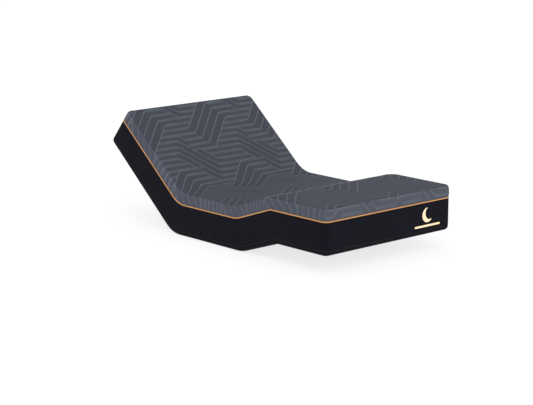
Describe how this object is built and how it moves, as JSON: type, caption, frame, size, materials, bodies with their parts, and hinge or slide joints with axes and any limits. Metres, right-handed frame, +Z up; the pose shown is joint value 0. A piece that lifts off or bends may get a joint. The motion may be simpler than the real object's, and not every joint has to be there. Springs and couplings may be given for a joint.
{
  "type": "adjustable bed mattress",
  "caption": "Foam mattress that folds with an adjustable bed: quilted knit top, dark border, gold piping and a zip cover.",
  "frame": {"origin": "centre of the underside of the seat, the stretch that never moves", "axes": "+Z up, +Y towards the head end, X across the width"},
  "size_m": [0.967, 1.8416, 0.6608],
  "materials": {
    "quilted_knit": "quilted slate knit with a raised line pattern",
    "border_knit": "smooth near-black stretch knit",
    "base_knit": "black non-slip knit",
    "piping_cord": "gold satin piping",
    "zip_cloth": "black woven zip tape",
    "zip_nylon": "black nylon coil",
    "zip_metal": "dark plated metal",
    "sock_knit": "white ribbed fire-barrier knit",
    "memory_foam": "open-cell gel memory foam",
    "transition_foam": "open-cell transition foam",
    "support_foam": "dense base foam",
    "fold_foam": "the same foams at a fold",
    "emblem_print": "pale gold transfer film",
    "label_cloth": "blank white woven label"
  },
  "bodies": {
    "back": {"top_panel_back": "quilted_knit", "border_back": "border_knit", "base_panel_back": "base_knit", "piping_back": "piping_cord", "zip_tape_back": "zip_cloth", "zip_chain_back": "zip_nylon", "fire_sock_back": "sock_knit", "comfort_foam_back": "memory_foam", "transition_foam_back": "transition_foam", "support_foam_back": "support_foam", "care_label": "label_cloth"},
    "seat": {"top_panel_seat": "quilted_knit", "border_seat": "border_knit", "base_panel_seat": "base_knit", "piping_seat": "piping_cord", "zip_tape_seat": "zip_cloth", "zip_chain_seat": "zip_nylon", "fire_sock_seat": "sock_knit", "comfort_foam_seat": "memory_foam", "transition_foam_seat": "transition_foam", "support_foam_seat": "support_foam", "back_fold_top_panel": "quilted_knit", "back_fold_border": "border_knit", "back_fold_piping": "piping_cord", "back_fold_foam": "fold_foam", "thigh_fold_top_panel": "quilted_knit", "thigh_fold_border": "border_knit", "thigh_fold_piping": "piping_cord", "thigh_fold_foam": "fold_foam"},
    "thigh": {"top_panel_thigh": "quilted_knit", "border_thigh": "border_knit", "base_panel_thigh": "base_knit", "piping_thigh": "piping_cord", "zip_tape_thigh": "zip_cloth", "zip_chain_thigh": "zip_nylon", "fire_sock_thigh": "sock_knit", "comfort_foam_thigh": "memory_foam", "transition_foam_thigh": "transition_foam", "support_foam_thigh": "support_foam", "knee_fold_top_panel": "quilted_knit", "knee_fold_border": "border_knit", "knee_fold_piping": "piping_cord", "knee_fold_foam": "fold_foam"},
    "foot": {"top_panel_foot": "quilted_knit", "border_foot": "border_knit", "base_panel_foot": "base_knit", "piping_foot": "piping_cord", "zip_tape_foot": "zip_cloth", "zip_chain_foot": "zip_nylon", "fire_sock_foot": "sock_knit", "comfort_foam_foot": "memory_foam", "transition_foam_foot": "transition_foam", "support_foam_foot": "support_foam", "foot_emblem": "emblem_print"},
    "zip_slider": {"zip_slider": "zip_metal"},
    "zip_pull": {"zip_pull": "zip_metal"}
  },
  "joints": [
    {"name": "back_tilt", "type": "hinge", "parent": "seat", "child": "back", "pos_m": [0, 0.3015, 0], "axis": [1, 0, 0], "range_deg": [-40, 15], "deforming": ["back_fold_top_panel", "back_fold_border", "back_fold_piping", "back_fold_foam"]},
    {"name": "thigh_tilt", "type": "hinge", "parent": "seat", "child": "thigh", "pos_m": [0, -0.3015, 0], "axis": [-1, 0, 0], "range_deg": [-19, 16], "deforming": ["thigh_fold_top_panel", "thigh_fold_border", "thigh_fold_piping", "thigh_fold_foam"]},
    {"name": "knee_bend", "type": "hinge", "parent": "thigh", "child": "foot", "pos_m": [0, -0.57854, 0.09539], "axis": [-1, 0, 0], "range_deg": [-16, 19], "deforming": ["knee_fold_top_panel", "knee_fold_border", "knee_fold_piping", "knee_fold_foam"]},
    {"name": "zip_slide", "type": "slide", "parent": "back", "child": "zip_slider", "axis": [1, 0, 0], "range_m": [0, 0.833]},
    {"name": "zip_pull_hinge", "type": "hinge", "parent": "zip_slider", "child": "zip_pull", "pos_m": [-0.4165, 0.85203, 0.49654], "axis": [1, 0, 0], "range_deg": [0, 165]}
  ],
  "couplings": [
    {"joint": "knee_bend", "follows": "thigh_tilt", "ratio": -1}
  ]
}
